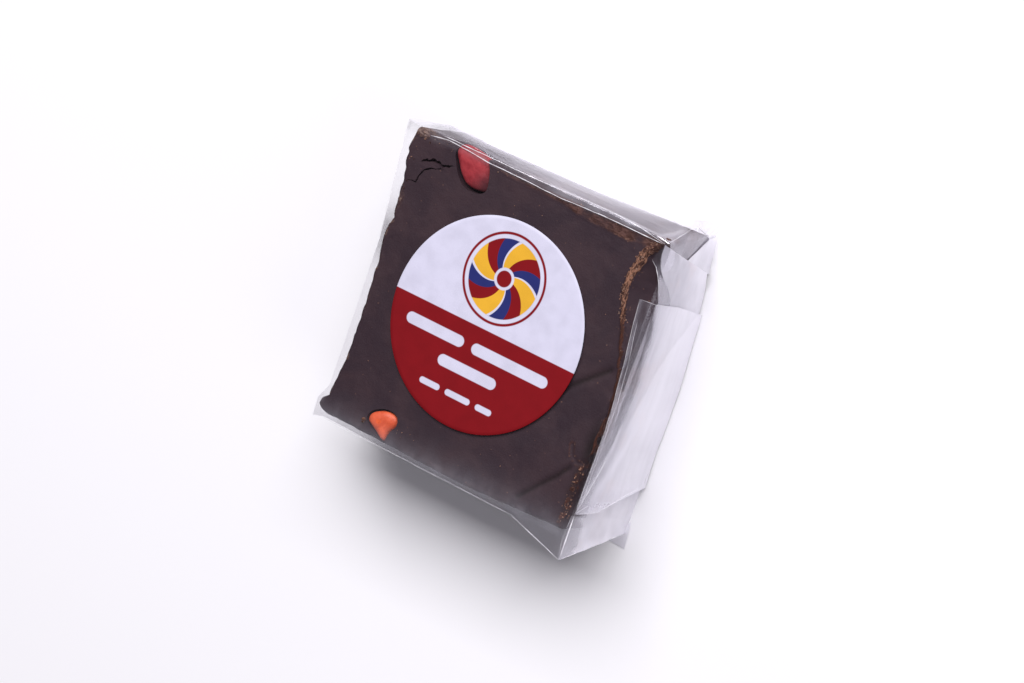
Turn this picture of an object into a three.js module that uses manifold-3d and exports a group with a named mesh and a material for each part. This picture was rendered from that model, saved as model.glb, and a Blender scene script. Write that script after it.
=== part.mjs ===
// A square of dark chocolate fudge in clear folded film. It lies on its back, its round sticker
// up. Millimetres, +Z up: the origin is under the middle of the slab, on the surface it lies on,
// +X runs along the sticker's lines and +Y points up the sticker.
import * as THREE from 'three';
import { ConvexGeometry } from 'three/addons/geometries/ConvexGeometry.js';
import { mergeVertices } from 'three/addons/utils/BufferGeometryUtils.js';
import Module from 'manifold-3d';

const wasm = await Module();
wasm.setup();

// Driving sizes
const AIR = 0.3; // between pieces that touch
const SKIN = 0.35; // the film's wall, thicker here than real film
const SLAB = { left: -31.1, right: 31.1, lower: -31.0, upper: 30.8, thick: 23.2, round: 1.3 };
const BASE = AIR + SKIN; // the slab's underside
const FACE = BASE + SLAB.thick; // the slab's face
const STICKER = { diameter: 44.45, thick: 0.2, x: -0.8, y: 0.2, facets: 72 };

// How the slab departs from a plain square
const LEFT_BOW = { depth: 2.4, y: -15, reach: 22 }; // the left side is cut hollow
const FILM_BOW = { depth: 0.9, y: -15, reach: 22 }; // the film spans most of that hollow
const BROKEN_EDGE = { setback: 5.8, y: 20, reach: 12, fall: 0.85 }; // crumbled right-hand edge
const UNEVEN = { side: 0.006, face: 0.1 }; // share of a side, and millimetres on the face

// The candy-coated chips that show in the face: middle, size across and along the face, depth
// and rise from the middle, turn about +Z, and the lean of the tip, which points down the face.
// The base is round up to the belly, a share of the length, and a low point number makes a
// sharper tip. The side that shows is flatter, because it was pressed flush with the face
const RED_CHIP = {
  x: -16.5, y: 28.4, z: FACE - 1.0, across: 7.7, along: 8.1, deep: 3.2, rise: 1.2,
  turn: 0, lean: 0.65, belly: 0.5, point: 2.5,
};
const ORANGE_CHIP = {
  x: -15.4, y: -28.0, z: FACE - 0.9, across: 7.0, along: 5.9, deep: 3.0, rise: 1.1,
  turn: 10, lean: 0.24, belly: 0.4, point: 1.2,
};
const CHIPS = [RED_CHIP, ORANGE_CHIP];
const SOCKET_RISE = 9; // so high that a socket's walls stand nearly upright at the face
const CHIP_RINGS = 18;
const CHIP_SIDES = 20;

// Cracks and grooves in the face, each along a few points
const CRACKS = [
  { width: 0.7, depth: 1.4, path: [[-28.4, 25.0], [-26.8, 25.9], [-23.4, 26.5], [-20.2, 27.4]] },
  { width: 0.6, depth: 1.2, path: [[-29.8, 20.4], [-27.6, 20.9], [-26.8, 23.2], [-24.2, 25.1]] },
  { width: 0.8, depth: 0.6, path: [[20.0, -5.4], [23.2, -2.2], [29.2, 2.7]] },
  { width: 1.0, depth: 0.5, path: [[19.6, -28.6], [23.4, -24.0], [27.4, -19.4]] },
];

// Where the folded film stands off the slab, as the corners of convex wedges
const FILM_TOP = FACE + AIR + SKIN;
const WEDGE_TOP = FILM_TOP - 0.3;
const FILM_WEDGES = {
  upperLeftFold: [
    [-34.1, 32.3, WEDGE_TOP], [-30.0, 31.3, WEDGE_TOP], [-30.6, 7.2, WEDGE_TOP],
    [-33.2, 32.0, 0], [-30.0, 31.0, 0], [-30.6, 7.2, 0],
  ],
  lowerRim: [
    [-29.0, -31.7, WEDGE_TOP], [19.0, -32.8, WEDGE_TOP], [30.0, -31.6, WEDGE_TOP],
    [-29.0, -30.0, WEDGE_TOP], [30.0, -30.0, WEDGE_TOP],
    [-29.0, -31.7, 0], [31.0, -32.4, 0], [-29.0, -30.0, 0], [31.0, -30.0, 0],
  ],
  rightEnd: [
    [31.0, 28.0, WEDGE_TOP], [31.4, -29.5, WEDGE_TOP], [30.0, 28.0, WEDGE_TOP],
    [30.0, -31.0, WEDGE_TOP], [31.6, 17.5, 0], [33.6, -4.0, 0], [34.2, -27.6, 0],
    [35.1, -33.7, 0], [30.0, -32.0, 0], [30.0, 28.0, 0],
  ],
  cornerTent: [
    [32.5, -36.8, WEDGE_TOP], [19.0, -32.6, WEDGE_TOP], [31.5, -27.3, WEDGE_TOP - 1],
    [24.0, -29.0, WEDGE_TOP], [31.6, -32.6, 4.8], [32.6, -27.3, 10], [24.0, -31.0, 14],
  ],
  farEar: [
    [18.0, 31.3, 0], [24.5, 34.0, 0], [30.2, 36.8, 0], [31.7, 33.0, 0], [31.6, 28.0, 0],
    [20.0, 29.0, 0], [31.3, 31.0, 15],
  ],
};

// The unsealed tuck at the right end: a narrow gap leads in under the folded flap
const TUCK = { y: 18.0, width: 0.4, fromZ: 8, toZ: 16, insideX: 30.0, outsideX: 36.0 };

const hump = (y, { y: middle, reach }) => Math.exp(-(((y - middle) / reach) ** 2));
const ripple = (a, b) => 0.5 + 0.5 * Math.sin(0.9 * a + 0.7 * b) * Math.sin(0.5 * b - 0.3 * a);

function solidFrom(geometry) {
  const bare = geometry.clone();
  bare.deleteAttribute('normal');
  bare.deleteAttribute('uv');
  const merged = mergeVertices(bare, 1e-4);
  const vertProperties = new Float32Array(merged.attributes.position.array);
  const triVerts = new Uint32Array(merged.index.array);
  return new wasm.Manifold(new wasm.Mesh({ numProp: 3, vertProperties, triVerts }));
}

function geometryFrom(solid) {
  const { numProp, numVert, vertProperties, triVerts } = solid.getMesh();
  const places = new Float32Array(numVert * 3);
  for (let i = 0; i < numVert; i += 1) {
    places.set(vertProperties.subarray(i * numProp, i * numProp + 3), i * 3);
  }
  const geometry = new THREE.BufferGeometry();
  geometry.setAttribute('position', new THREE.BufferAttribute(places, 3));
  geometry.setIndex(new THREE.BufferAttribute(triVerts, 1));
  geometry.computeVertexNormals();
  return geometry;
}

const union = (solids) => solids.reduce((whole, next) => whole.add(next));

// A closed slab of six grids with rounded edges, grown by a margin all round. The grid lines
// crowd towards the edges, and form() then moves each point to its place on the real piece.
function slab(cells, rows, margin, form) {
  const low = new THREE.Vector3(SLAB.left - margin, SLAB.lower - margin, BASE - margin);
  const high = new THREE.Vector3(SLAB.right + margin, SLAB.upper + margin, FACE + margin);
  const radius = SLAB.round + margin;
  const innerLow = low.clone().addScalar(radius);
  const innerHigh = high.clone().addScalar(-radius);
  const crowd = (t) => 0.5 + Math.sign(t) * 0.5 * (1 - (1 - 2 * Math.abs(t)) ** 1.3);
  const geometry = new THREE.BoxGeometry(1, 1, 1, cells, cells, rows);
  const places = geometry.attributes.position;
  const point = new THREE.Vector3();
  for (let i = 0; i < places.count; i += 1) {
    point.fromBufferAttribute(places, i);
    point.set(crowd(point.x), crowd(point.y), crowd(point.z)).multiply(high.clone().sub(low)).add(low);
    const core = point.clone().clamp(innerLow, innerHigh);
    point.sub(core).setLength(radius).add(core);
    form(point);
    places.setXYZ(i, point.x, point.y, point.z);
  }
  return solidFrom(geometry);
}

// Draws the left side in by a bow, most at the side itself and not at all at the right.
function bowLeft(point, bow) {
  const share = (SLAB.right - point.x) / (SLAB.right - SLAB.left);
  point.x += bow.depth * hump(point.y, bow) * share;
}

function fudgeForm(point) {
  const height = (point.z - BASE) / SLAB.thick;
  point.x *= 1 - UNEVEN.side * ripple(point.y, point.z);
  point.y *= 1 - UNEVEN.side * ripple(point.x, point.z);
  bowLeft(point, LEFT_BOW);
  const edge = SLAB.right - BROKEN_EDGE.setback * hump(point.y, BROKEN_EDGE);
  const fall = BROKEN_EDGE.fall * Math.max(0, point.x - edge);
  point.z -= height * (fall + UNEVEN.face * ripple(0.4 * point.x, 0.4 * point.y));
}

const filmForm = (point) => bowLeft(point, FILM_BOW);

// A chip's outline as a share of its half width, from the base at 0 to the tip at 1.
function chipGirth(along, { belly, point }) {
  if (along < belly) return Math.sqrt(1 - (1 - along / belly) ** 2);
  return 1 - ((along - belly) / (1 - belly)) ** point;
}

// A candy-coated chocolate chip, a teardrop with a flatter upper side, grown by a margin.
function chip(shape, margin, rise = shape.rise) {
  const profile = [];
  for (let ring = 0; ring <= CHIP_RINGS; ring += 1) {
    const fromTip = 0.5 - 0.5 * Math.cos((Math.PI * ring) / CHIP_RINGS);
    profile.push(new THREE.Vector2(0.5 * chipGirth(1 - fromTip, shape), fromTip - 0.5));
  }
  profile[0].x = 0;
  profile[CHIP_RINGS].x = 0;
  const drop = new THREE.LatheGeometry(profile, CHIP_SIDES);
  drop.scale(shape.across + 2 * margin, shape.along + 2 * margin, 2);
  const places = drop.attributes.position;
  for (let i = 0; i < places.count; i += 1) {
    const z = places.getZ(i);
    places.setZ(i, z * ((z > 0 ? rise : shape.deep) + margin));
  }
  drop.applyMatrix4(new THREE.Matrix4().makeShear(0, 0, -shape.lean, 0, 0, 0));
  drop.rotateZ(THREE.MathUtils.degToRad(shape.turn)).translate(shape.x, shape.y, shape.z);
  return solidFrom(drop);
}

// A V-shaped crack: one wedge for each stretch of its path, open at the face.
function crack({ width, depth, path }) {
  const above = FACE + AIR;
  return union(path.slice(1).map(([x, y], i) => {
    const start = new THREE.Vector3(...path[i], above);
    const end = new THREE.Vector3(x, y, above);
    const along = end.clone().sub(start).normalize();
    const across = new THREE.Vector3(-along.y, along.x, 0).multiplyScalar(width / 2);
    const corners = [start, end].flatMap((p) => [
      p.clone().add(across), p.clone().sub(across), p.clone().setZ(FACE - depth),
    ]);
    return solidFrom(new ConvexGeometry(corners));
  }));
}

function box(low, high) {
  const size = high.map((value, i) => value - low[i]);
  const middle = high.map((value, i) => (value + low[i]) / 2);
  return solidFrom(new THREE.BoxGeometry(...size).translate(...middle));
}

function fudge() {
  const sockets = CHIPS.map((shape) => chip(shape, AIR, SOCKET_RISE));
  return slab(26, 8, 0, fudgeForm).subtract(union([...sockets, ...CRACKS.map(crack)]));
}

// The film follows the slab at a small gap, and swells over the red candy at the edge.
function film() {
  const wedges = Object.values(FILM_WEDGES).map((corners) => (
    solidFrom(new ConvexGeometry(corners.map((corner) => new THREE.Vector3(...corner))))
  ));
  const outside = union([
    slab(16, 6, AIR + SKIN, filmForm), ...CHIPS.map((shape) => chip(shape, AIR + SKIN)), ...wedges,
  ]);
  const pocket = union([slab(16, 6, AIR, filmForm), ...CHIPS.map((shape) => chip(shape, AIR))]);
  const half = TUCK.width / 2;
  const tuck = box(
    [TUCK.insideX, TUCK.y - half, TUCK.fromZ],
    [TUCK.outsideX, TUCK.y + half, TUCK.toZ],
  );
  return outside.subtract(pocket).subtract(tuck);
}

function sticker() {
  const radius = STICKER.diameter / 2;
  const disc = new THREE.CylinderGeometry(radius, radius, STICKER.thick, STICKER.facets);
  return disc.rotateX(Math.PI / 2);
}

function named(name, geometry, finish) {
  const mesh = new THREE.Mesh(geometry, new THREE.MeshStandardMaterial(finish));
  mesh.name = name;
  return mesh;
}

const part = new THREE.Group();
part.add(named('fudge', geometryFrom(fudge()), { color: '#42352f', roughness: 0.62 }));
part.add(named('candy_red', geometryFrom(chip(RED_CHIP, 0)), { color: '#b03a42', roughness: 0.4 }));
part.add(named('candy_orange', geometryFrom(chip(ORANGE_CHIP, 0)), { color: '#d85e38', roughness: 0.4 }));
part.add(named('film_wrap', geometryFrom(film()), {
  color: '#dcdae4', roughness: 0.12, transparent: true, opacity: 0.25,
}));

const label = named('label', sticker(), { color: '#e2dfee', roughness: 0.45 });
label.position.set(STICKER.x, STICKER.y, FILM_TOP + AIR + STICKER.thick / 2);
part.add(label);

export default part;
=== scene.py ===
# %% [markdown]
# # A wrapped square of chocolate fudge
#
# The real thing is a hand-cut square of dark fudge with two candy-coated chips showing in its
# face. Clear film is folded round it like a parcel, and a round paper sticker closes the front.
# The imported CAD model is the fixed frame: it says where every piece goes and how large it is.
# This script dresses it, piece by piece, in millimetres that are turned to metres at the end.

# %% The frame and the tools
import math

import bpy
import numpy as np
from mathutils import Matrix, Vector


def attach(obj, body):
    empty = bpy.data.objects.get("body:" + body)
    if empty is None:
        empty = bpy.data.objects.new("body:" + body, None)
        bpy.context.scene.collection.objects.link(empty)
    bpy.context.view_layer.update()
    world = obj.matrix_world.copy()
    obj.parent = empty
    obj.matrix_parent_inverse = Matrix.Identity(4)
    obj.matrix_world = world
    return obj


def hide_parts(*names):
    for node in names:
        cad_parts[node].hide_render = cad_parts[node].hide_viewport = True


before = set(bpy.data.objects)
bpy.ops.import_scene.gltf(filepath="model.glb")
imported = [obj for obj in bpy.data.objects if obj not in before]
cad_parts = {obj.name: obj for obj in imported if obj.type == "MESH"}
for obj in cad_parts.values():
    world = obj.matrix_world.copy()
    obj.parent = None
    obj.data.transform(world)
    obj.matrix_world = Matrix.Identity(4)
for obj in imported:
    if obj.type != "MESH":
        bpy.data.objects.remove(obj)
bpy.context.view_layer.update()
MM = 0.001

# %% [markdown]
# ## Where the photo was taken from
#
# A camera can be matched by eye, or worked out. The sticker is a circle of known size and the
# slab is nearly square, so the ellipse and the four corners in the picture give the camera's
# place and its turn. A long lens suits the picture's nearly parallel edges.

# %% The camera
CAMERA_PLACE = (0.34594, 0.12164, 0.70577)
CAMERA_RIGHT = Vector((0.81374, 0.34470, -0.46798))
CAMERA_UP = Vector((-0.37872, 0.92523, 0.02297))
LENS = 135
SENSOR = 36


def make_camera():
    """A long-lens camera whose picture has the photo's frame."""
    data = bpy.data.cameras.new("photo_camera")
    data.lens = LENS
    data.sensor_width = SENSOR
    camera = bpy.data.objects.new("photo_camera", data)
    back = CAMERA_RIGHT.cross(CAMERA_UP)
    turn = Matrix((CAMERA_RIGHT, CAMERA_UP, back)).transposed().to_4x4()
    camera.matrix_world = Matrix.Translation(CAMERA_PLACE) @ turn
    bpy.context.scene.collection.objects.link(camera)
    bpy.context.scene.camera = camera
    return camera


camera = make_camera()
print("camera height above the table, mm:", round(camera.location.z / MM))

# %% [markdown]
# ## Shader sums written as Python
#
# A node tree is easiest to read as a formula. This class wraps one socket and gives it plus,
# minus, times and power, so that an expression on values adds the Math nodes it needs. Colours
# go through Mix nodes, because a Math node would turn them grey.


# %% A socket in a sum
class Value:
    """A socket of a material that takes part in sums like a number."""

    def __init__(self, material, socket):
        self.material = material
        self.socket = socket

    def math(self, operation, first, second):
        return self.material.node("ShaderNodeMath", {"operation": operation}, {0: first, 1: second})

    def __add__(self, other):
        return self.math("ADD", self, other)

    def __sub__(self, other):
        return self.math("SUBTRACT", self, other)

    def __rsub__(self, other):
        return self.math("SUBTRACT", other, self)

    def __mul__(self, other):
        return self.math("MULTIPLY", self, other)

    def __pow__(self, other):
        return self.math("POWER", self, other)

    def lower(self, other):
        return self.math("MINIMUM", self, other)

    def upper(self, other):
        return self.math("MAXIMUM", self, other)

    def size(self):
        return self.math("ABSOLUTE", self, None)

    def reach(self, other):
        """The slant side over two values."""
        return (self * self + other * other) ** 0.5

    __radd__ = __add__
    __rmul__ = __mul__


# %% A material, one node at a time
class Finish:
    """A material that is built one node at a time."""

    def __init__(self, name):
        self.material = bpy.data.materials.new(name)
        self.material.use_nodes = True
        self.tree = self.material.node_tree
        self.tree.nodes.clear()

    def node(self, kind, settings=None, inputs=None, output=0):
        """Adds a node: its settings first, then a number, a colour or a link for each input."""
        made = self.tree.nodes.new(kind)
        for name, value in (settings or {}).items():
            setattr(made, name, value)
        for key, value in (inputs or {}).items():
            if isinstance(value, Value):
                self.tree.links.new(value.socket, made.inputs[key])
            elif value is not None:
                made.inputs[key].default_value = value
        return Value(self, made.outputs[output])

    def place(self):
        return self.node("ShaderNodeTexCoord", output="Object")

    def kept(self, name):
        """A number that a mesh keeps with each of its points."""
        return self.node("ShaderNodeAttribute", {"attribute_name": name}, output="Fac")

    def axes(self):
        """The three numbers of the surface's own place, in millimetres."""
        place = self.place()
        split = [self.node("ShaderNodeSeparateXYZ", None, {0: place}, axis) for axis in range(3)]
        return [number * (1 / MM) for number in split]

    def noise(self, size, detail=3.0, rough=0.55, warp=0.0, stretch=None):
        """Noise from 0 to 1 with lumps about `size` millimetres across."""
        where = self.place()
        if stretch:
            where = self.node("ShaderNodeVectorMath", {"operation": "MULTIPLY"}, {0: where, 1: stretch})
        inputs = {"Vector": where, "Scale": 1 / (size * MM)}
        inputs.update({"Detail": detail, "Roughness": rough, "Distortion": warp})
        return self.node("ShaderNodeTexNoise", None, inputs)

    def step(self, value, start, end):
        """0 before start and 1 after end, with a smooth rise between them."""
        inputs = {"Value": value, "From Min": start, "From Max": end, "To Min": 0.0, "To Max": 1.0}
        return self.node("ShaderNodeMapRange", {"interpolation_type": "SMOOTHSTEP"}, inputs)

    def tint(self, share, first, second):
        """A colour between two others."""
        colours = [colour if isinstance(colour, Value) else (*colour, 1.0) for colour in (first, second)]
        inputs = {0: share, 6: colours[0], 7: colours[1]}
        return self.node("ShaderNodeMix", {"data_type": "RGBA"}, inputs, 2)

    def bump(self, height, depth_mm, under=None):
        inputs = {"Height": height, "Distance": depth_mm * MM, "Strength": 1.0, "Normal": under}
        return self.node("ShaderNodeBump", None, inputs, "Normal")

    def surface(self, inputs):
        return self.node("ShaderNodeBsdfPrincipled", None, inputs)

    def film(self, share, solid, colour=(1.0, 1.0, 1.0, 1.0)):
        """A share of one shader, and for the rest nothing but clear film."""
        clear = self.node("ShaderNodeBsdfTransparent", None, {"Color": colour})
        return self.node("ShaderNodeMixShader", None, {0: share, 1: clear, 2: solid})

    def done(self, shader):
        end = self.tree.nodes.new("ShaderNodeOutputMaterial")
        self.tree.links.new(shader.socket, end.inputs["Surface"])
        print("finish:", self.material.name, len(self.tree.nodes), "nodes")
        return self.material


# %% [markdown]
# ## Meshes from numbers
#
# Every piece here is worked out as an array of points in millimetres. A closed grid over a
# box's six sides is a good start for a slab, because the points can then be moved anywhere
# without tearing it. Smooth random values, always the same on each run, make things uneven.


# %% Pieces and grids
def keep(mesh, name, value):
    """Keeps a number with each point of a mesh, for its material to read."""
    kept = mesh.attributes.new(name, "FLOAT", "POINT")
    kept.data.foreach_set("value", np.asarray(value, np.float32))


def make_piece(name, points, faces, material, sharp=40, **values):
    """A smooth-shaded mesh from points in millimetres, riding on the frame. Any further arrays
    are kept with its points."""
    mesh = bpy.data.meshes.new(name)
    mesh.from_pydata((np.asarray(points) * MM).tolist(), [], [list(map(int, face)) for face in faces])
    mesh.validate()
    mesh.shade_smooth()
    mesh.set_sharp_from_angle(angle=math.radians(sharp))
    mesh.materials.append(material)
    for value_name, value in values.items():
        keep(mesh, value_name, value)
    piece = bpy.data.objects.new(name, mesh)
    bpy.context.scene.collection.objects.link(piece)
    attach(piece, "root")
    print(name, len(points), "points,", len(faces), "faces")
    return piece


def box_grid(cells):
    """The points of a unit box's surface, from -0.5 to 0.5, and its quads, facing out."""
    cells = np.array(cells)
    quads = []
    for axis in range(3):
        across, along = (axis + 1) % 3, (axis + 2) % 3
        i, j = np.meshgrid(np.arange(cells[across]), np.arange(cells[along]), indexing="ij")
        for end, steps in ((1, ((0, 0), (1, 0), (1, 1), (0, 1))), (0, ((0, 0), (0, 1), (1, 1), (1, 0)))):
            quad = np.zeros((i.size, 4, 3), int)
            quad[:, :, axis] = end * cells[axis]
            for corner, (di, dj) in enumerate(steps):
                quad[:, corner, across] = (i + di).ravel()
                quad[:, corner, along] = (j + dj).ravel()
            quads.append(quad)
    flat = np.concatenate(quads).reshape(-1, 3)
    places, index = np.unique(flat, axis=0, return_inverse=True)
    return places / cells - 0.5, index.reshape(-1, 4)


print("a grid of two cells a side:", len(box_grid((2, 2, 2))[1]), "quads")


# %% Smooth random values
def lumps(points, size, seed):
    """Smooth random values from -1 to 1, with lumps about `size` millimetres across."""
    cell = np.floor(points / size).astype(np.int64)
    inside = points / size - cell
    ease = inside * inside * (3 - 2 * inside)
    total = np.zeros(len(points))
    for corner in np.ndindex(2, 2, 2):
        at = cell + corner
        mixed = (at[:, 0] * 73856093) ^ (at[:, 1] * 19349663) ^ (at[:, 2] * 83492791) ^ (seed * 26544357)
        mixed = (mixed ^ (mixed >> 13)) * 1274126177
        value = ((mixed ^ (mixed >> 16)) & 0xFFFF) / 0x7FFF - 1
        total += np.prod(np.where(corner, ease, 1 - ease), axis=1) * value
    return total


row = lumps(np.arange(0.0, 60.0, 0.5)[:, None] * (1, 0, 0), 5.0, 1)
print("lumps 5 mm across, along a line:", row.min().round(2), "to", row.max().round(2))


# %% Paths, humps and rises
def path_length(path):
    return sum(math.dist(a, b) for a, b in zip(path, path[1:]))


def resample(path, count):
    """Evenly spaced points along a path of straight stretches."""
    path = np.array(path, float)
    reach = np.r_[0, np.cumsum(np.linalg.norm(np.diff(path, axis=0), axis=1))]
    at = np.linspace(0, reach[-1], count)
    return np.column_stack([np.interp(at, reach, path[:, axis]) for axis in range(path.shape[1])])


def lengths(vectors):
    return np.linalg.norm(vectors, axis=1, keepdims=True)


def hump(value, middle, reach):
    """1 at the middle, fading smoothly to both sides."""
    return np.exp(-(((value - middle) / reach) ** 2))


def rise(value, start, width):
    """0 up to start and 1 from a width further on. A negative width rises the other way."""
    return np.clip((value - start) / width, 0, 1)


def read_off(table, value):
    """Reads a table of (place, value) rows, with straight stretches between them."""
    return np.interp(value, *np.array(table, float).T)


def line_distance(x, y, path):
    """The distance of each point to a path of straight stretches."""
    best = np.full(len(x), 1e9)
    for (ax, ay), (bx, by) in zip(path, path[1:]):
        dx, dy = bx - ax, by - ay
        share = np.clip(((x - ax) * dx + (y - ay) * dy) / (dx * dx + dy * dy), 0, 1)
        best = np.minimum(best, np.hypot(x - ax - share * dx, y - ay - share * dy))
    return best


print("a rise from 2, 4 wide, at 0 to 8:", rise(np.arange(0, 9, 2), 2, 4))

# %% [markdown]
# ## The slab of fudge
#
# Real fudge is cut by hand with a long knife, so its sides are a little hollow and its corners
# crumble. The right-hand edge of this one has broken away and left a crumbly golden ridge, with
# a smooth face falling from it. All of that is shape, so the points are really moved. Noise
# alone would make every edge alike, so each fault has its own place, as it has on the real one.

# %% The slab's sizes
SLAB_LOW = np.array((-31.1, -31.0, 0.65))
SLAB_HIGH = np.array((31.1, 31.1, 24.0))
SLAB_ROUND = 0.8
SLAB_CELLS = (188, 158, 40)
# Where the grid lines lie along each axis, as shares: close together at the edges and ridge
GRID_LINES = (
    ((0, 0), (0.07, 0.014), (0.17, 0.07), (0.50, 0.76), (0.93, 0.986), (1, 1)),
    ((0, 0), (0.07, 0.014), (0.17, 0.07), (0.74, 0.90), (0.93, 0.986), (1, 1)),
    ((0, 0), (0.12, 0.03), (0.50, 0.50), (0.80, 0.93), (1, 1)),
)
FACE = SLAB_HIGH[2]
THICK = FACE - SLAB_LOW[2]
# The left edge, the ridge and the ridge's half width, each as (y, value)
LEFT_EDGE = (
    (-31.0, -29.3), (-30.3, -30.7), (-29.4, -31.4), (-28.3, -31.2), (-27.1, -29.9), (-18.2, -28.9),
    (-10.2, -29.1), (0.8, -29.7), (2.7, -29.6), (5.3, -30.2), (8.6, -30.6), (10.9, -30.3), (12.4, -29.6),
    (13.4, -30.2), (18.1, -30.6), (20.1, -30.6), (21.9, -31.3), (25.2, -32.0), (26.4, -32.2),
    (28.6, -31.9), (31.1, -31.4),
)
RIDGE = (
    (-31.0, 30.6), (-26.0, 30.2), (-18.0, 30.3), (-12.0, 30.8), (-2.5, 30.9), (0.0, 30.6), (3.3, 30.0),
    (6.6, 29.0), (9.8, 27.9), (12.4, 26.9), (14.5, 26.1), (16.2, 25.6), (18.3, 25.2), (20.4, 25.1),
    (22.2, 25.2), (24.0, 25.5), (26.1, 26.3), (27.4, 27.1), (29.2, 28.3), (31.1, 29.5),
)
RIDGE_HALF = ((-16, 0.16), (0, 0.22), (8, 0.28), (14, 0.40), (20, 0.66), (26, 0.95), (31, 1.1))
BROKEN_FALL = 0.85  # how steeply the face falls beyond the ridge
# How high the crumbly ridge stands over the face, as (y, value)
RIDGE_LIP = ((-18, 0.05), (-5, 0.12), (10, 0.32), (20, 0.40), (31, 0.3))
# How far the foot of the right side stands back, as (y, value): the knife was held askew there
RIGHT_FOOT = ((8.0, 0.0), (18.3, 0.8), (24.8, 2.1), (31.1, 3.1))
LOWER_BOW = 0.9  # how far the lower side swells out by the face
UPPER_SLANT = 0.9  # how far the upper side's foot stands out at the right
UPPER_LOBE = 0.7  # how far its left corner stands out
HALF_SIDE = 31  # of the slab, roughly
GROOVES = (
    # half width, depth and path
    (0.8, 0.30, ((19.4, -5.6), (22.9, -2.4), (28.4, 2.4))),
    (0.7, 0.28, ((18.9, -28.9), (22.9, -24.3), (25.3, -21.8), (27.4, -18.9))),
    (0.6, 0.25, ((26.2, -14.4), (26.9, -16.4), (28.6, -17.4), (30.4, -17.0))),
)
print("slab, mm:", (SLAB_HIGH - SLAB_LOW).round(2))


# %% Shaping the slab
def slab_surface(unit):
    """Places the box grid's points on a plain slab with rounded edges."""
    share = np.column_stack([read_off(lines, unit[:, axis] + 0.5) for axis, lines in enumerate(GRID_LINES)])
    plain = SLAB_LOW + share * (SLAB_HIGH - SLAB_LOW)
    core = np.clip(plain, SLAB_LOW + SLAB_ROUND, SLAB_HIGH - SLAB_ROUND)
    out = plain - core
    return core + out * SLAB_ROUND / lengths(out)


def ridge_line(y):
    """How far right the face reaches before the broken edge falls away."""
    line = np.stack([y, y * 0, y * 0], axis=1)
    return read_off(RIDGE, y) + 0.22 * lumps(line, 2.2, 3) + 0.16 * lumps(line, 0.8, 4)


def shape_fudge(p):
    """Hand-cut unevenness: hollow and ragged sides, a broken edge, grooves and pits."""
    x, y, z = p.T.copy()
    height = (z - SLAB_LOW[2]) / THICK
    left_share = (SLAB_HIGH[0] - x) / (SLAB_HIGH[0] - SLAB_LOW[0])

    # the left and right sides
    bow = read_off(LEFT_EDGE, y) - SLAB_LOW[0]
    nibble = 0.30 * np.maximum(0, lumps(p, 1.6, 13)) + 0.16 * lumps(p, 0.8, 14)
    x += (bow + nibble) * left_share**2
    x -= 0.25 * (0.5 + 0.5 * lumps(p, 7.0, 11)) * (1 - left_share) ** 4

    # the upper and lower sides
    rough = 0.4 * (0.5 + 0.5 * lumps(p, 9.0, 12)) + 0.3 * np.maximum(0, lumps(p, 2.4, 15))
    y *= 1 - 0.011 * rough * (0.5 + 0.5 * height)
    y -= LOWER_BOW * hump(x, 5.0, 20.0) * rise(y, 0, -HALF_SIDE) ** 3 * rise(height, 0.5, 0.5)
    x -= read_off(RIGHT_FOOT, y) * (1 - height) * (1 - left_share) ** 0.5
    out = UPPER_SLANT * (1 - height) * rise(x, 0, 28) + UPPER_LOBE * hump(x, -31.0, 2.5)
    y += out * rise(y, 0, HALF_SIDE) ** 3

    # the face, with its broken edge, crumbled rims and grooves
    edge = ridge_line(y)
    half = read_off(RIDGE_HALF, y)
    fall = BROKEN_FALL * np.maximum(0, x - edge - 0.5 * half)
    strand = 0.5 + 0.5 * lumps(p * (1.0, 0.28, 0.0), 0.48, 21)
    lip = hump(x, edge, 0.9 * half) * read_off(RIDGE_LIP, y)
    rim = np.minimum(SLAB_HIGH[1] - y, y - SLAB_LOW[1])
    crumble = hump(rim, 0.0, 0.9) * (0.08 + 0.45 * np.maximum(0, lumps(p, 1.4, 25)))
    grain = 0.06 * lumps(p, 6.0, 22) + 0.035 * lumps(p, 1.6, 23) + 0.02 * lumps(p, 0.6, 24)
    face = grain + lip * (0.30 + 1.2 * strand) - fall - crumble
    for width, depth, path in GROOVES:
        face -= depth * hump(line_distance(x, y, path) + 0.12 * lumps(p, 0.9, 31), 0.0, width)
    z += face * rise(height, 0.375, 0.625)
    return np.stack([x, y, np.maximum(z, SLAB_LOW[2])], axis=1)


print("the ridge reaches, mm:", ridge_line(np.array([-20.0, 0.0, 20.0])).round(1), "at y -20, 0 and 20")

# %% [markdown]
# ## The fudge's finish
#
# Close up, fudge isn't one brown. Its face is smooth and nearly black with a faint plum cast
# where it touched the film. Where it has crumbled, its sugar shows golden. Painting that with a
# mask that follows the broken edge keeps colour and shape together, so the mask is worked out
# from the same ridge line and kept with each point of the mesh.


# %% The fudge's masks
# Where the upper rim's crumb starts, and how dense it is there, both along x
TOP_CRUMB = (
    (-31, 30.3), (-24, 30.4), (-14, 29.6), (-3, 28.8), (5, 28.4), (12, 27.4), (22, 27.0), (27, 27.6),
    (31, 28.6),
)
TOP_DENSE = ((-31, 0.55), (-20, 0.35), (-8, 0.60), (12, 0.62), (28, 0.55))
LOW_EDGE = 29.9  # how far right the speckled lower edge lies
LOW_EDGE_TOP = -16.6  # and up to where it reaches


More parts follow.
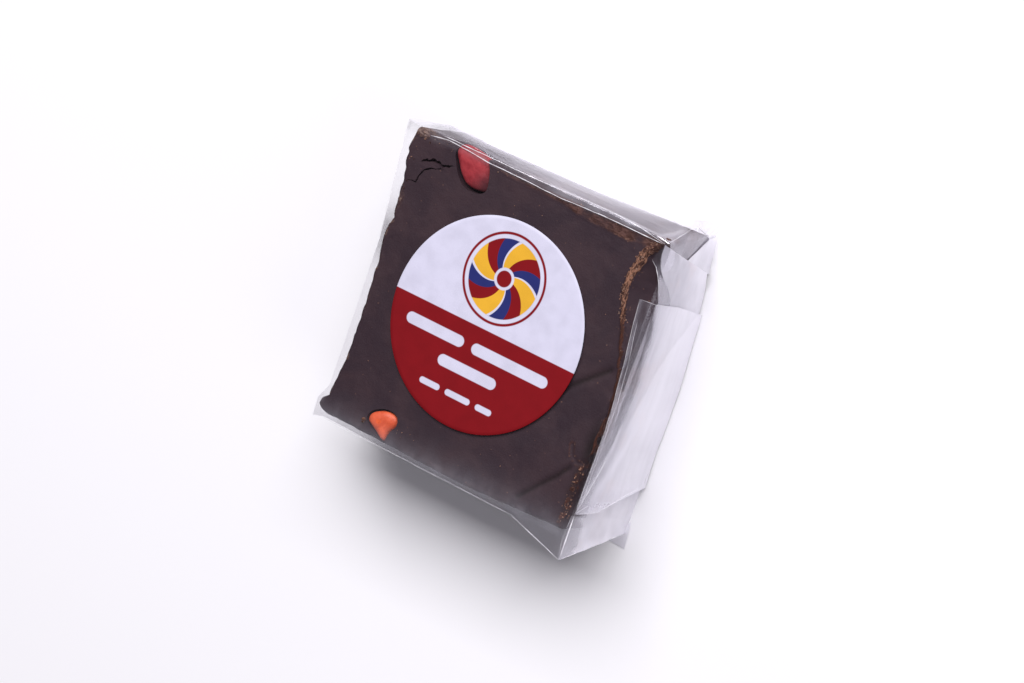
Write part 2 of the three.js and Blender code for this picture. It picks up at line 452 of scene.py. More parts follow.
def crumb_mask(p):
    """Where the golden crumb shows: the broken ridge, the lower right edge and the rims."""
    x, y, z = p.T
    near_face = rise(z, FACE - 7.0, 5.0)
    half = read_off(RIDGE_HALF, y)
    speckle = 0.5 + 0.5 * lumps(p, 0.5, 41)
    patches = 0.5 + 0.5 * lumps(p, 2.2, 42)
    off = np.abs(x - ridge_line(y) - 0.1 * half) / half + 0.35 * lumps(p, 0.7, 43)
    ridge = rise(off, 1.25, -0.35) * rise(y, -16, 3)
    low_right = rise(np.abs(x - LOW_EDGE), 1.2, -1.0) * rise(y, LOW_EDGE_TOP, -2)
    low_right = low_right * (0.28 + 0.72 * (speckle > 0.66))
    crescent = 0.42 * hump(line_distance(x, y, GROOVES[2][2]), 0.55, 0.28)
    top_rim = rise(y, read_off(TOP_CRUMB, x), 0.9) * read_off(TOP_DENSE, x) * (0.45 + 0.8 * patches)
    top_rim *= 1 - 0.75 * rise(y, 30.0, 0.5) * rise(x, -22, 4)
    corner = 0.7 * rise(y + 0.6 * speckle, 29.8, 0.8) * rise(x, -27.8, -1.5)
    left = read_off(LEFT_EDGE, y)
    left_rim = hump(x, left + 0.3, 0.7) * (patches * speckle > 0.40) * 0.5
    left_patch = 0.5 * hump(x, left + 0.9, 1.0) * hump(y, 16.5, 3.4) * (0.4 + 0.6 * speckle)
    low_rim = rise(y, -30.2, -0.8) * 0.25 * patches
    total = np.maximum.reduce([ridge, low_right, crescent, top_rim, corner, left_rim, left_patch, low_rim])
    return np.clip(total, 0, 1) * near_face


def painted_shade_mask(p):
    """Painted shade: the fudge painted nearly black with a red cast by the right edge's gap, under the lower
    right edge's crumbs and down in the cuts.
    """
    x, y, z = p.T
    by_edge = hump(x, 30.5, 1.5) * hump(y, -13.2, 5.2)
    under_crumbs = 0.62 * hump(x, LOW_EDGE, 1.0) * rise(y, -15.5, -3)
    cuts = [0.8 * hump(line_distance(x, y, path), 0.0, 0.7 * width) for width, _, path in GROOVES[:2]]
    return np.clip(np.maximum.reduce([by_edge, under_crumbs, *cuts]), 0, 1) * (z > FACE - 4)


spots = np.array([(26.0, 25.0, FACE), (0.0, 0.0, FACE)])
print("crumb on the ridge and in the middle:", crumb_mask(spots).round(2))

# %% The fudge's material
DARK_FUDGE = (0.027, 0.0135, 0.0200)
WARM_FUDGE = (0.041, 0.0210, 0.0265)
# nearly black with a red cast, for painted shade in the gaps and cuts
PAINTED_SHADE = (0.0075, 0.0018, 0.0018)
RED_BROWN = (0.046, 0.0145, 0.0085)
GOLD_CRUMB = (0.345, 0.170, 0.106)
DULL_CRUMB = (0.200, 0.130, 0.105)
RIM_BROWN = (0.082, 0.035, 0.031)
ORANGE_CRUMB = (0.080, 0.022, 0.0105)
PALE_CRUMB = (0.36, 0.23, 0.17)


def fudge_finish():
    finish = Finish("dark_fudge")
    tone = finish.step(finish.noise(9.0, 4.0, 0.6, 0.4), 0.35, 0.68)
    grain = finish.noise(0.45, 4.0, 0.65)
    crumb, painted_shade = finish.kept("crumb"), finish.kept("painted_shade")
    across, up, _ = finish.axes()

    # the smooth body, with a few sugar specks and painted shade by the right edge and in the cuts
    body = finish.tint(tone, DARK_FUDGE, WARM_FUDGE)
    body = finish.tint(finish.step(finish.noise(0.6, 1.0, 0.5), 0.745, 0.79) * 0.30, body, GOLD_CRUMB)
    body = finish.tint(painted_shade, body, PAINTED_SHADE)

    # the crumb's strands cross the broken edge, and run along the upper rim
    rim = finish.step(up, 26.6, 28.4)
    strand = finish.noise(0.36, 4.0, 0.65, 0.5, stretch=(1.0, 0.30, 1.0))
    along_rim = finish.noise(0.55, 4.0, 0.65, 0.5, stretch=(0.35, 1.0, 1.0))
    strand = strand + (along_rim - strand) * rim
    gold = finish.tint(finish.step(up, 10.0, 18.0), ORANGE_CRUMB, GOLD_CRUMB)
    gold = finish.tint(rim * 0.92, gold, RIM_BROWN)
    gold = finish.tint(finish.step(across, -22.0, -27.0), gold, DULL_CRUMB)
    pale = finish.step(finish.noise(0.45, 2.0), 0.66, 0.76) * (1 - 0.7 * rim)
    sugar = finish.tint(finish.step(strand, 0.44, 0.58), RED_BROWN, gold)
    sugar = finish.tint(pale, sugar, PALE_CRUMB)

    colour = finish.tint(finish.step(crumb + (grain - 0.5) * 0.35, 0.15, 0.62), body, sugar)
    normal = finish.bump(finish.noise(2.6, 4.0, 0.6), 0.10)
    normal = finish.bump(grain, 0.05, normal)
    normal = finish.bump(strand * crumb, 0.30, normal)
    rough = 0.52 + 0.16 * grain + 0.2 * crumb
    inputs = {"Base Color": colour, "Roughness": rough, "Specular IOR Level": 0.28, "Normal": normal}
    return finish.done(finish.surface(inputs))


# %% [markdown]
# ## The candy-coated chips
#
# A candy-coated chip is a soft pebble: it has a round base, a blunt point and no straight line.
# Pressed into warm fudge, it ends flush with the face. Each outline here is drawn from the
# photo as a few points, its corners are cut until it is smooth, and rings of it shrink towards
# the top and the bottom. The sugar shell has soft dimples. The slab is cut by a slightly larger
# chip, so each one sits in its own socket with a dark gap round it.

# %% The chips
CHIP_RINGS = 36
CHIP_SIDES = 64
CHIPS = {
    # outline, the height of its widest ring, how far it swells up and down, its tilt, to which side its socket
    # leaves the wider gap, its slot, and its shell: a name, the deep and the bright colour, and a spot of
    # painted shade in the fudge's colour as (x, y, reach)
    "candy_red": {
        "outline": (
            (-21.0, 30.0), (-20.8, 31.2), (-19.8, 32.1), (-18.2, 32.3), (-16.2, 32.0), (-13.7, 31.3),
            (-12.7, 29.9), (-12.0, 27.8), (-11.5, 26.0), (-12.1, 24.7), (-14.3, 24.2), (-16.8, 24.5),
            (-18.6, 26.1), (-19.9, 28.2),
        ),
        "level": FACE - 1.0, "rise": 1.25, "deep": 3.2, "tilt": (-0.15, 0.05), "slack": (-0.12, -0.40),
        "slot": "red_shell",
        "shell": ("red_sugar", (0.25, 0.018, 0.025), (0.40, 0.039, 0.048), (-12.2, 25.0, 5.6)),
    },
    "candy_orange": {
        "outline": (
            (-19.3, -28.1), (-19.0, -26.5), (-17.2, -25.3), (-15.0, -24.7), (-13.3, -25.0), (-12.5, -26.0),
            (-12.5, -27.2), (-13.4, -28.4), (-13.8, -29.4), (-13.9, -30.9), (-14.8, -30.9), (-16.3, -29.8),
            (-17.8, -29.0),
        ),
        "level": FACE - 0.85, "rise": 1.15, "deep": 3.0, "tilt": (-0.04, 0.0), "slack": (0.0, 0.10),
        "slot": "orange_shell",
        "shell": ("orange_sugar", (0.62, 0.085, 0.026), (0.82, 0.140, 0.050), (-13.6, -32.0, 1.6)),
    },
}
SOCKET_RISE = 9.0  # so high that a socket's walls stand nearly upright at the face
print("chips:", ", ".join(CHIPS))


# %% A chip's shape
def smooth_outline(corners, count):
    """A closed outline with its corners cut three times, as evenly spaced points."""
    line = np.array(corners)
    for _ in range(3):
        ahead = np.roll(line, -1, axis=0)
        line = np.stack([0.75 * line + 0.25 * ahead, 0.25 * line + 0.75 * ahead], axis=1).reshape(-1, 2)
    return resample(np.vstack([line, line[:1]]), count + 1)[:-1]


def chip_points(shape, seed, grow=0.0, swell=None):
    """A pebble with a given outline, as rings of points from its top to its bottom."""
    rim = smooth_outline(shape["outline"], CHIP_SIDES)
    middle = rim.mean(axis=0)
    rim = (rim - middle) * (1 + grow / lengths(rim - middle))
    turn = np.linspace(0, math.pi, CHIP_RINGS + 1)[1:-1]
    girth, lift = np.sin(turn) ** 0.7, np.cos(turn)
    flat = (girth[:, None, None] * rim).reshape(-1, 2)
    points = np.vstack([[0, 0, 1], np.column_stack([flat, np.repeat(lift, CHIP_SIDES)]), [0, 0, -1]])
    points[:, 2] *= np.where(points[:, 2] > 0, swell or shape["rise"], shape["deep"]) + grow
    points *= (1 + 0.022 * lumps(points, 2.2, seed) + 0.012 * lumps(points, 0.8, seed + 1))[:, None]
    points[:, 2] += points[:, :2] @ shape["tilt"]
    return points + (*middle, shape["level"])


def ring_faces(rings, sides):
    """Faces that close a stack of rings with a single point at each end."""
    faces = [(0, 1 + (i + 1) % sides, 1 + i) for i in range(sides)]
    for ring in range(rings - 1):
        for i in range(sides):
            a, b = 1 + ring * sides + i, 1 + ring * sides + (i + 1) % sides
            faces.append((a, b, b + sides, a + sides))
    last = 1 + (rings - 1) * sides
    faces += [(last + sides, last + i, last + (i + 1) % sides) for i in range(sides)]
    return faces


chip_faces = ring_faces(CHIP_RINGS - 1, CHIP_SIDES)
print("faces on a chip:", len(chip_faces))


# %% The sugar shells
def shell_finish(name, deep, bright, painted_shade_spot):
    """A sugar shell: soft satin, a little cloudy, thinner and darker in places, with painted shade in the
    fudge's colour round one place."""
    finish = Finish(name)
    cloud = finish.step(finish.noise(2.6, 3.0, 0.6, 0.5), 0.32, 0.70)
    wear = finish.step(finish.noise(0.7, 3.0, 0.6), 0.60, 0.78) * 0.35
    colour = finish.tint(cloud, deep, bright)
    colour = finish.tint(wear, colour, tuple(0.55 * part for part in deep))
    x, y, _ = finish.axes()
    # Painted shade: the shell darkens to the fudge's colour round one place, at its shaded lower end
    far = (x - painted_shade_spot[0]).reach(y - painted_shade_spot[1]) + finish.noise(0.9, 3.0) * 1.2
    colour = finish.tint((1 - finish.step(far, 0.8, painted_shade_spot[2])) * 0.8, colour, WARM_FUDGE)
    normal = finish.bump(finish.noise(1.1, 3.0, 0.55), 0.08)
    rough = 0.36 + 0.14 * cloud
    inputs = {"Base Color": colour, "Roughness": rough, "Specular IOR Level": 0.4, "Normal": normal}
    return finish.done(finish.surface(inputs))


for seed, (name, shape) in enumerate(CHIPS.items()):
    points = chip_points(shape, 50 + 7 * seed)
    chip = make_piece(name + "_shell", points, chip_faces, shell_finish(*shape["shell"]))
    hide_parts(name)

# %% [markdown]
# ## Cutting the sockets and cracks
#
# The slab and a larger copy of each chip go through a Boolean cut, which Blender's manifold
# solver does quickly and cleanly on closed meshes. The two cracks beside the red chip are cut
# too, by thin wandering wedges: they are narrower than the grid's cells, so moving points
# couldn't show them. The masks are worked out afterwards, because each cut makes new points.

# %% The slab itself
SOCKET_GAP = 0.28
CRACKS = (
    # half width, depth and path
    (0.27, 1.9, ((-28.1, 24.9), (-27.0, 25.9), (-25.6, 26.2), (-24.1, 26.3), (-22.8, 26.2), (-20.4, 26.9))),
    (0.16, 1.2, ((-29.9, 20.6), (-27.7, 20.8), (-27.5, 22.1), (-26.7, 23.8), (-25.5, 24.6), (-22.2, 25.5))),
    (0.10, 0.7, ((-24.0, 26.3), (-23.4, 25.7), (-22.4, 25.4))),
)


def crack_wedge(half, depth, path, seed):
    """A closed wandering wedge, open at the top and sharp at the bottom."""
    line = resample(path, int(path_length(path) / 0.22))
    for size, amount in ((1.1, 0.20), (0.45, 0.12)):
        here = np.c_[line, line[:, :1]]
        line += amount * np.column_stack([lumps(here, size, seed + k) for k in (0, 1)])
    ahead = np.gradient(line, axis=0)
    ahead /= lengths(ahead)
    aside = np.column_stack([-ahead[:, 1], ahead[:, 0]])
    taper = np.clip(np.minimum(np.arange(len(line)), np.arange(len(line))[::-1]) / 6, 0.12, 1)
    here = np.c_[line, line[:, :1]]
    ragged = 0.6 * lumps(here, 0.9, seed + 2) + 0.5 * lumps(here, 0.4, seed + 3)
    open_by = 1.35 * half * taper * np.maximum(0.25, 1.0 + ragged)
    lip = np.full((len(line), 1), FACE + 0.5)
    left = np.hstack([line + aside * open_by[:, None], lip])
    right = np.hstack([line - aside * open_by[:, None], lip])
    root = np.hstack([line, FACE - depth * taper[:, None]])
    points = np.stack([left, right, root], axis=1).reshape(-1, 3)
    faces = [(0, 2, 1), (len(points) - 3, len(points) - 2, len(points) - 1)]
    for i in range(0, len(points) - 3, 3):
        faces += [(i + a, i + b, i + b + 3, i + a + 3) for a, b in ((0, 1), (1, 2), (2, 0))]
    return points, faces


def cut_away(piece, tool):
    """Takes the tool's shape out of the piece and removes the tool."""
    cut = piece.modifiers.new("socket", "BOOLEAN")
    cut.operation = "DIFFERENCE"
    cut.solver = "MANIFOLD"
    cut.object = tool
    bpy.context.view_layer.update()
    whole = piece.evaluated_get(bpy.context.evaluated_depsgraph_get())
    mesh = bpy.data.meshes.new_from_object(whole)
    piece.modifiers.clear()
    piece.data = mesh
    bpy.data.objects.remove(tool)


def make_fudge():
    unit, quads = box_grid(SLAB_CELLS)
    finish = fudge_finish()
    piece = make_piece("fudge_slab", shape_fudge(slab_surface(unit)), quads, finish)
    for seed, shape in enumerate(CHIPS.values()):
        points = chip_points(shape, 50 + 7 * seed, SOCKET_GAP, SOCKET_RISE) + (*shape["slack"], 0)
        cut_away(piece, make_piece("socket_tool", points, chip_faces, finish))
    for seed, crack in enumerate(CRACKS):
        cut_away(piece, make_piece("crack_tool", *crack_wedge(*crack, 33 + 5 * seed), finish))
    mesh = piece.data
    places = np.array([vertex.co for vertex in mesh.vertices]) / MM
    keep(mesh, "crumb", crumb_mask(places))
    keep(mesh, "painted_shade", painted_shade_mask(places))
    mesh.shade_smooth()
    mesh.set_sharp_from_angle(angle=math.radians(60))
    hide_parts("fudge")
    print("fudge_slab after cutting:", len(mesh.polygons), "faces")
    return piece


fudge = make_fudge()

# %% [markdown]
# ## Loose crumbs
#
# Handling knocks crumbs off the broken edges, and the film keeps them in place. Each is a small
# lump with a few flat sides, half sunk into the surface it lies on. They are one mesh, made from
# copies of one lump at random sizes and turns with a fixed seed.

# %% The crumbs
CRUMB_BANDS = (
    # how many, x low and high from the ridge or the frame, y low and high, size low and high
    ("ridge", 300, -0.9, 0.8, 12.5, 30.2, 0.05, 0.15),
    ("ridge", 60, -1.5, 1.8, 9.0, 29.8, 0.05, 0.15),
    ("corner", 70, 28.9, 30.8, -29.6, -16.5, 0.08, 0.26),
    ("top", 60, -30.0, 29.0, 29.4, 30.6, 0.08, 0.24),
    ("tip", 14, -31.2, -28.2, 29.6, 30.9, 0.15, 0.40),
    ("left", 60, -30.9, -29.3, -28.0, 29.0, 0.08, 0.24),
    ("beside the chip", 3, -20.0, -19.2, -28.9, -28.1, 0.35, 0.50),
    ("specks", 6, -12.0, -7.0, -28.6, -26.6, 0.09, 0.15),
    ("face", 40, -27.0, 27.0, -28.0, 27.0, 0.05, 0.13),
)


def lump():
    """A rough ball: an eight-sided solid with its sides split once."""
    base = np.array([(1, 0, 0), (-1, 0, 0), (0, 1, 0), (0, -1, 0), (0, 0, 1), (0, 0, -1)], float)
    sides = [(0, 2, 4), (2, 1, 4), (1, 3, 4), (3, 0, 4), (2, 0, 5), (1, 2, 5), (3, 1, 5), (0, 3, 5)]
    points, faces, middles = base.tolist(), [], {}

    def middle(a, b):
        key = (min(a, b), max(a, b))
        if key not in middles:
            middles[key] = len(points)
            points.append(((np.array(points[a]) + points[b]) / 2 * 1.25).tolist())
        return middles[key]

    for a, b, c in sides:
        ab, bc, ca = middle(a, b), middle(b, c), middle(c, a)
        faces += [(a, ab, ca), (ab, b, bc), (ca, bc, c), (ab, bc, ca)]
    return np.array(points), np.array(faces)


def make_crumbs(slab):
    draw = np.random.default_rng(7)
    ball, ball_faces = lump()
    points, faces = [], []
    for name, count, x_low, x_high, y_low, y_high, small, large in CRUMB_BANDS:
        for _ in range(count):
            y = draw.uniform(y_low, y_high)
            x = draw.uniform(x_low, x_high)
            if name == "ridge":
                x += float(ridge_line(np.array([y]))[0])
            hit, place, _, _ = slab.ray_cast(Vector((x * MM, y * MM, 0.05)), Vector((0, 0, -1)))
            size = small + (large - small) * draw.uniform() ** 2
            stretch = draw.uniform(0.6, 1.3, 3) * size
            turn = np.array(Matrix.Rotation(draw.uniform(0, 6.28), 3, Vector(draw.normal(size=3))))
            if not hit or place.z / MM < FACE - 5.5:
                continue
            jitter = 1 + draw.uniform(-0.22, 0.22, (len(ball), 1))
            lifted = np.array(place) / MM + (0, 0, 0.12 * size)
            faces.append(ball_faces + sum(map(len, points)))
            points.append((ball * jitter * stretch) @ turn.T + lifted)
    finish = Finish("sugar_crumb")
    shade = finish.step(finish.noise(1.4, 2.0), 0.40, 0.66)
    grain = finish.noise(0.25, 3.0)
    colour = finish.tint(shade, RED_BROWN, GOLD_CRUMB)
    colour = finish.tint(finish.step(finish.noise(0.9, 1.0), 0.60, 0.70), colour, PALE_CRUMB)
    normal = finish.bump(grain, 0.06)
    rough = 0.45 + 0.3 * grain
    material = finish.done(finish.surface({"Base Color": colour, "Roughness": rough, "Normal": normal}))
    piece = make_piece("fudge_crumbs", np.vstack(points), np.vstack(faces), material, sharp=30)


make_crumbs(fudge)

# %% [markdown]
# ## The film
#
# Cellophane can't stretch, so it meets a box in flat facets, straight creases and corners that
# stick out. A cloth simulation would round these off. Instead the wrap is one closed skin: an
# outline round the face, another on the table, and straight walls between matching posts. Where
# a post leans out, the film makes a tent or an ear, as the folded corners of the real one do.

# %% The wrap's skin
FILM_FACE = FACE + 0.32
FILM_FLOOR = 0.12
FILM_ROUND = 0.45  # how round its edges are
FILM_STEP = 0.9  # the distance between points along its outline
FACE_RINGS, WALL_RINGS, FLOOR_RINGS = 42, 29, 18
# Each post is where the film meets the face's outline and where it meets the table
FILM_POSTS = (
    ((-31.0, 7.2), (-31.5, 7.0)),
    ((-34.0, 32.3), (-33.3, 32.1)),  # the fold that stands off at the upper left
    ((-29.0, 32.1), (-29.0, 31.9)),
    ((17.0, 31.3), (16.0, 32.2)),
    ((28.6, 30.9), (23.9, 33.9)),
    ((30.9, 30.5), (29.9, 36.5)),  # the far ear
    ((31.4, 29.0), (28.9, 33.0)),
    ((31.3, 20.0), (30.5, 21.0)),
    ((31.5, 9.3), (31.9, 9.0)),
    ((31.7, -4.0), (33.0, -4.0)),
    ((31.8, -14.0), (33.0, -14.0)),
    ((31.7, -27.3), (33.4, -27.6)),  # where the end's folds meet
    ((32.5, -36.8), (33.4, -31.0)),  # the pulled-out corner
    ((19.0, -32.8), (29.0, -32.2)),
    ((-29.0, -31.7), (-29.0, -31.8)),
    ((-31.6, -32.3), (-31.2, -32.0)),  # a small ear at the lower left
    ((-31.9, -28.5), (-31.9, -28.5)),
    ((-30.2, -25.0), (-30.9, -25.0)),
)
print("posts:", len(FILM_POSTS))


# %% Rings of film
def film_outlines():
    """The face's outline and the table's, split alike into short steps from post to post."""
    top, floor = (np.array([post[level] for post in FILM_POSTS]) for level in (0, 1))
    tops, floors = [], []
    for i in range(len(top)):
        j = (i + 1) % len(top)
        count = max(2, round(np.linalg.norm(top[j] - top[i]) / FILM_STEP))
        share = (np.arange(count) / count)[:, None]
        tops.append(top[i] + (top[j] - top[i]) * share)
        floors.append(floor[i] + (floor[j] - floor[i]) * share)
    return np.vstack(tops), np.vstack(floors)


def film_rings():
    """Rings of points from the face's middle, over the edge, down the walls and in again below."""
    top, floor = film_outlines()
    inner = 1 - FILM_ROUND / HALF_SIDE
    wall_top, wall_floor = FILM_FACE - FILM_ROUND, FILM_FLOOR + FILM_ROUND
    rows = [(top * inner * share, FILM_FACE) for share in np.linspace(0, 1, FACE_RINGS + 2)[1:-1] ** 0.75]
    for turn in np.linspace(0, math.pi / 2, 5):
        inset = 1 - FILM_ROUND * (1 - math.sin(turn)) / HALF_SIDE
        rows.append((top * inset, FILM_FACE - FILM_ROUND * (1 - math.cos(turn))))
    for share in np.linspace(0, 1, WALL_RINGS + 1)[1:]:
        rows.append((top + (floor - top) * share, wall_top + (wall_floor - wall_top) * share))
    for turn in np.linspace(0, math.pi / 2, 4)[1:]:
        inset = 1 - FILM_ROUND * (1 - math.cos(turn)) / HALF_SIDE
        rows.append((floor * inset, wall_floor - FILM_ROUND * math.sin(turn)))
    rows += [(floor * inner * share, FILM_FLOOR) for share in np.linspace(1, 0, FLOOR_RINGS + 2)[1:-1]]
    rings = [np.column_stack([xy, np.full(len(xy), z)]) for xy, z in rows]
    return np.vstack([(0, 0, FILM_FACE), *rings, (0, 0, FILM_FLOOR)]), len(rings), len(top)


def crease_film(p):
    """Slack and creases: soft on the face, stronger on the walls, and swellings over the red chip
    and at the far ear."""
    x, y, z = p.T
    wall = rise(z, FILM_FACE - 0.3, -2) * rise(z, 0, 2)
    slack = 0.05 * lumps(p * (0.5, 1.0, 1.0), 7.0, 61) + 0.02 * lumps(p, 2.0, 62)
    folds = 0.32 * lumps(p * (1.0, 1.0, 0.45), 5.0, 63) + 0.12 * lumps(p * (1.0, 1.0, 0.4), 1.8, 64)
    out = p * (1, 1, 0)
    out /= np.maximum(lengths(out), 1e-6)
    moved = p + out * (np.abs(folds) * wall)[:, None]
    over_chip = 0.35 * hump(x, -18.0, 3.5) * hump(y, 29.0, 3.5)
    moved[:, 2] += np.where(z > FACE, np.maximum(slack, -0.08) + over_chip, 0)
    beside_chip = 0.75 * hump(x, -17.5, 5.0) * hump(z, FACE - 1.0, 5.0) * rise(y, 27, 3)
    height = rise(z, 0, FILM_FACE)
    ear = 1.1 * np.sin(np.pi * height) * rise(x, 27, 3) * rise(y + 4 * height, 33.4, 1.6)
    moved[:, 1] += beside_chip + ear
    return moved


# %% [markdown]
# ## How clear film is shaded
#
# Film is nearly invisible face on, and turns to a mirror as it tilts away. A glass shader would have to bend
# light through a wall a thirtieth of a millimetre thick. A mix of nothing and a shiny white surface is simpler
# and clears up faster. Its share rises as the fifth power of the tilt, from both sides alike. Layers that lie
# over each other look milky: each sheet keeps a number for that with its points, called veil, which adds to
# the share and softens the mirror. The veil's white is partly a painted reflection too, of the white table
# that tilted film mirrors. Another, called slack, weakens the mirror where loose film stands off and all but
# disappears, and a third, called pale, is painted light: it lightens the film's colour in the places its masks
# give.


# %% Film material
FILM_TINT = (0.735, 0.715, 0.795)
FILM_ROSE = (0.745, 0.695, 0.755)
# The colour that painted light lightens the film towards
FILM_PAINTED_LIGHT = (0.93, 0.91, 0.985)
FACE_ON = 0.04  # the share of light that one surface sends back face on
BOTH_SIDES = 1.2  # how much the film's other surface adds
MOST_MIRROR = 0.27  # the largest share that it sends back when tilted
STREAKY = 0.22  # how far the milkiness strays in streaks


def film_finish():
    finish = Finish("clear_film")
    veil, slack, pale = (finish.kept(name) for name in ("veil", "slack", "pale"))
    normal = finish.bump(finish.noise(6.0, 3.0, 0.5, 0.3, stretch=(1.0, 1.0, 0.5)), 0.22)
    normal = finish.bump(finish.noise(1.3, 2.0, 0.5, 0.2, stretch=(1.0, 1.0, 0.3)), 0.02, normal)
    tilt = finish.node("ShaderNodeLayerWeight", None, {"Blend": 0.5, "Normal": normal}, "Facing")
    mirror = (((1 - FACE_ON) * tilt**5 + FACE_ON) * BOTH_SIDES).lower(MOST_MIRROR) * (1 - slack)
    streak = (finish.noise(2.4, 4.0, 0.6, 0.5, stretch=(1.0, 0.5, 1.0)) - 0.5) * STREAKY
    milk = (veil + streak * (veil * (1 - veil) * 4)).upper(0.004).lower(0.98)
    tint = finish.tint(finish.step(finish.noise(7.0, 2.0, 0.5), 0.50, 0.66), FILM_TINT, FILM_ROSE)
    # Painted light: the film's colour is lightened where the kept value pale says
    tint = finish.tint(pale, tint, FILM_PAINTED_LIGHT)
    inputs = {"Base Color": tint, "Metallic": 1 - 0.9 * milk, "Roughness": 0.07 + 0.35 * milk}
    shiny = finish.surface({**inputs, "Normal": normal})
    return finish.done(finish.film(mirror * (1 - milk) + milk, shiny, (0.985, 0.983, 0.99, 1)))


CLEAR_FILM = film_finish()

# %% [markdown]
# ## Where the skin is milky, pale or slack
#
# A wrap of one film isn't alike all over. Here the upper side is milky low down, partly as painted reflection,
# the ear and the pulled-out corner get painted light, and the rims are hazy. Each place has a mask that rises
# from 0 to 1 over a short stretch, and a table gives its strength at each height or along its side.

# %% The skin's masks
TENT_VEIL = ((0, 0.72), (8, 0.78), (15, 0.76), (18.5, 0.72), (20.5, 0.68), (22.5, 0.62), (24.3, 0.54))
UPPER_VEIL = ((0, 0.85), (3, 0.60), (7, 0.30), (12, 0.10), (18, 0.02), (24, 0.0))
UPPER_LEFT_VEIL = ((0, 0.94), (4, 0.84), (8, 0.55), (12, 0.34), (16, 0.20), (20, 0.12), (24, 0.06))
LOW_RIM_VEIL = (
    (-32.6, 0.20), (-32.1, 0.30), (-31.1, 0.32), (-30.0, 0.24), (-29.0, 0.17), (-28.0, 0.12), (-27.0, 0.08),
    (-23.0, 0.0),
)
HIGH_RIM_VEIL = ((-22, 0.14), (-10, 0.14), (4, 0.40))  # along x, and thin over the red chip
LEFT_SIDE = -30.2  # the left side's film lies left of this
FOOT_PAINTED_LIGHT = ((8, 0.9), (16, 0.6), (20, 0.4), (24, 0.2))
LEFT_SLACK = ((-31.5, 0.70), (-29.5, 0.50), (12.0, 0.0))  # along x


def by_corner(x, y):
    """The end wall just beside the pulled-out corner."""
    return rise(x, 31.2, 0.4) * rise(y, -18.5, -1.5)


def skin_veil(p):
    """How milky the wrap's skin is: on its upper side, at the far ear, on the pulled-out corner's right facet,
    and a little along the rims of the face and on the left side. On the upper side and at the corner the milk
    partly paints the reflection of the white table."""
    x, y, z = p.T
    cloud = 0.5 + 0.5 * lumps(p, 2.6, 151)
    drawn = lumps(p * (0.12, 1.0, 1.0), 1.6, 152)
    low = z < FILM_FACE - 0.2
    right = rise(x, 3, 14)
    upper = read_off(UPPER_VEIL, z) * right + read_off(UPPER_LEFT_VEIL, z) * (1 - right)
    upper = rise(y, 30.6, 0.8) * (upper + 0.10 * drawn) * low
    outer = rise(y, 32.6, 1.0)  # the ear's outer part, which is clear again
    ear = rise(x, 27.0, 1.0) * rise(y, 25.5, 1.0) * (0.18 + 0.28 * cloud) * low
    by_ear = rise(x, 23, 4)
    upper = upper * (1 - 0.85 * by_ear) + 0.14 * cloud * by_ear * (y > 30.6) * low
    ear, upper = ear * (1 - 0.9 * outer), upper * (1 - 0.9 * outer * by_ear)
    shady = rise(6.0 * (z - 24) - 14.3 * (y + 27.3), -8, 16)  # beyond a slant from the folds
    tent = rise(x, 31.5, 0.5) * rise(y, -27.4, -0.6) * read_off(TENT_VEIL, z) * (1 - 0.42 * shady)
    tent = np.maximum(tent, 0.74 * by_corner(x, y) * rise(z, 21, -3)) * (0.85 + 0.3 * cloud)
    low_rim = read_off(LOW_RIM_VEIL, y) * (z > FILM_FACE - 0.12) * (0.75 + 0.5 * cloud)
    high_rim = read_off(HIGH_RIM_VEIL, x) * rise(y, 29.6, 0.8) * (z > FILM_FACE - 1.6) * (0.7 + 0.6 * cloud)
    lobe = 0.30 * hump(x, -31.0, 1.2) * hump(y, -28.6, 1.8) * (z > FILM_FACE - 0.3)
    left = 0.50 * hump(y, 8.0, 5.0) * (x < LEFT_SIDE) * low * (0.6 + 0.8 * cloud)
    return np.clip(np.maximum.reduce([upper, ear, tent, low_rim, high_rim, lobe, left]), 0, 0.95)


def skin_painted_light(p):
    """Painted light: how far the skin's colour is lightened, low on its upper side, at the left end, at the
    ear's tip and by the pulled-out corner."""
    x, y, z = p.T
    upper = rise(z, 16 - 4 * rise(x, 12, 14), -8) * rise(y, 30.4, 0.5)
    tip = rise(x, 24, 3) * rise(y, 33.0, 1.0)
    foot = by_corner(x, y) * read_off(FOOT_PAINTED_LIGHT, z)
    return np.maximum.reduce([upper, tip, foot, 0.7 * (x < LEFT_SIDE)])


def skin_slack(p):
    """How far the skin's mirror is weakened: at the left end and at the far ear's tip."""
    x, y, _ = p.T
    return np.maximum(read_off(LEFT_SLACK, x), rise(y, 32.6, 1.2) * rise(x, 22, 3))


def make_wrap():
    points, rings, sides = film_rings()
    points = crease_film(points)
    faces = ring_faces(rings, sides)
    values = {"veil": skin_veil(points), "slack": skin_slack(points), "pale": skin_painted_light(points)}
    piece = make_piece("film_skin", points, faces, CLEAR_FILM, sharp=16, **values)
    piece.visible_shadow = False  # film this clear leaves hardly any shadow on the table
    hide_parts("film_wrap")


make_wrap()

# %% [markdown]
# ## The folded right end
#
# At the end the film is folded in like a parcel: one flap comes down from the far corner, and one
# is folded up with a straight edge and laps a little over the broken edge of the face. Where
# three or four layers lie together they look white and streaky, with a slanting line where one
# of them ends. Each flap is a sheet stretched over a few rails, which are paths in space, so
# that it can bend over the edge.

# %% A flap on rails
RIGHT_POSTS = FILM_POSTS[6:12]
print("the end wall runs from y", RIGHT_POSTS[-1][0][1], "to", RIGHT_POSTS[0][0][1])


def wall(y, z, out=0.35):
    """A point just outside the end wall of the skin, at a place along it and a height."""
    top = np.array(sorted((post[0][1], post[0][0]) for post in RIGHT_POSTS))
    floor = np.array(sorted((post[1][1], post[1][0]) for post in RIGHT_POSTS))
    high, low = np.interp(y, *top.T), np.interp(y, *floor.T)
    return float(low + (high - low) * z / FILM_FACE + out), y, z


